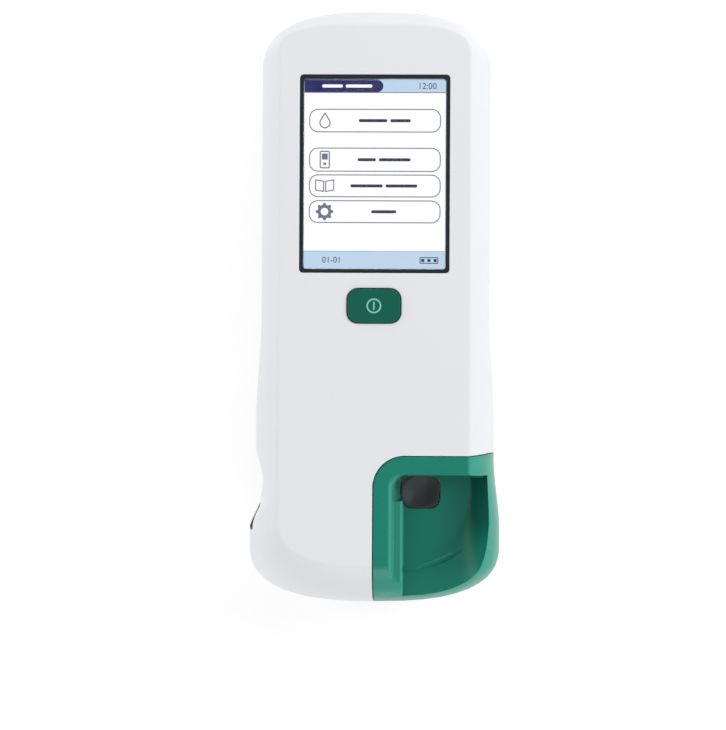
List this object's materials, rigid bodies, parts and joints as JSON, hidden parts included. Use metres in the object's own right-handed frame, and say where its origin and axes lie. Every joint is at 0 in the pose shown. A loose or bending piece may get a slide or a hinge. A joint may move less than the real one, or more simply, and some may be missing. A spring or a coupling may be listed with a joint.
{
  "type": "rapid test reader",
  "caption": "Handheld rapid test reader with a large display, a power button, a green strip port cover over a moulded bowl, and a sliding battery door at the back.",
  "frame": {"origin": "centre of the footprint, on the surface that the four rubber feet stand on", "axes": "+X to the reader's right seen from its face, +Y from the strip port end toward the head end, +Z out of the face that holds the display"},
  "size_m": [0.1036, 0.244, 0.0519],
  "materials": {
    "shell_white": "satin",
    "port_green": "satin",
    "button_green": "satin",
    "black_plastic": "satin",
    "bezel_black": "polished",
    "window_glass": "polished",
    "display_white": "satin",
    "board_green": "satin",
    "chip_black": "satin",
    "steel": "satin",
    "brass": "satin",
    "aluminium": "satin",
    "mirror": "polished",
    "rubber_grey": "matt",
    "foam_grey": "matt",
    "battery_blue": "satin",
    "filter_red": "polished",
    "ribbon_amber": "satin"
  },
  "bodies": {
    "housing": {"front_shell": "shell_white", "rear_shell": "shell_white", "data_window": "filter_red", "lower_left_housing_screw": "steel", "middle_left_housing_screw": "steel", "upper_left_housing_screw": "steel", "lower_right_housing_screw": "steel", "middle_right_housing_screw": "steel", "upper_right_housing_screw": "steel", "lower_left_foot": "rubber_grey", "upper_left_foot": "rubber_grey", "lower_right_foot": "rubber_grey", "upper_right_foot": "rubber_grey", "display_bezel": "bezel_black", "display_window": "window_glass", "lcd_panel": "display_white", "backlight": "display_white", "display_plate": "steel", "lcd_ribbon": "ribbon_amber", "lower_left_display_screw": "steel", "upper_left_display_screw": "steel", "lower_right_display_screw": "steel", "upper_right_display_screw": "steel", "power_switch": "chip_black", "switch_board": "board_green", "left_switch_board_screw": "steel", "right_switch_board_screw": "steel", "strip_guide": "black_plastic", "heater_plate": "aluminium", "lever_pin": "steel", "lever_spring": "steel", "lower_guide_screw": "steel", "upper_guide_screw": "steel", "optics_housing": "black_plastic", "optics_lens": "window_glass", "optics_mirror": "mirror", "image_sensor": "chip_black", "strip_light_ring": "display_white", "lever_detector": "chip_black", "main_board": "board_green", "processor": "chip_black", "memory_chip": "chip_black", "buzzer": "chip_black", "clock_cell": "steel", "lower_left_board_screw": "steel", "upper_left_board_screw": "steel", "lower_right_board_screw": "steel", "upper_right_board_screw": "steel", "chip_socket": "black_plastic", "chip_contacts": "brass", "data_transceiver": "filter_red", "power_jack": "black_plastic", "battery_pack": "battery_blue", "battery_contacts": "brass"},
    "button": {"power_button": "button_green", "switch_plunger": "chip_black"},
    "cover": {"port_cover": "port_green"},
    "door": {"battery_door": "shell_white", "door_pad": "foam_grey"},
    "lever": {"strip_lever": "black_plastic"}
  },
  "joints": [
    {"name": "button_press", "type": "slide", "parent": "housing", "child": "button", "axis": [0, 0, -1], "range_m": [0, 0.0008], "stiffness_N_per_m": 3000},
    {"name": "cover_slide", "type": "slide", "parent": "housing", "child": "cover", "axis": [0, -1, 0], "range_m": [0, 0.062]},
    {"name": "door_slide", "type": "slide", "parent": "housing", "child": "door", "axis": [0, 1, 0], "range_m": [0, 0.1]},
    {"name": "lever_pivot", "type": "hinge", "parent": "housing", "child": "lever", "pos_m": [0.0196, -0.021, 0.0408], "axis": [1, 0, 0], "range_deg": [0, 24], "stiffness_Nm_per_rad": 0.001}
  ]
}
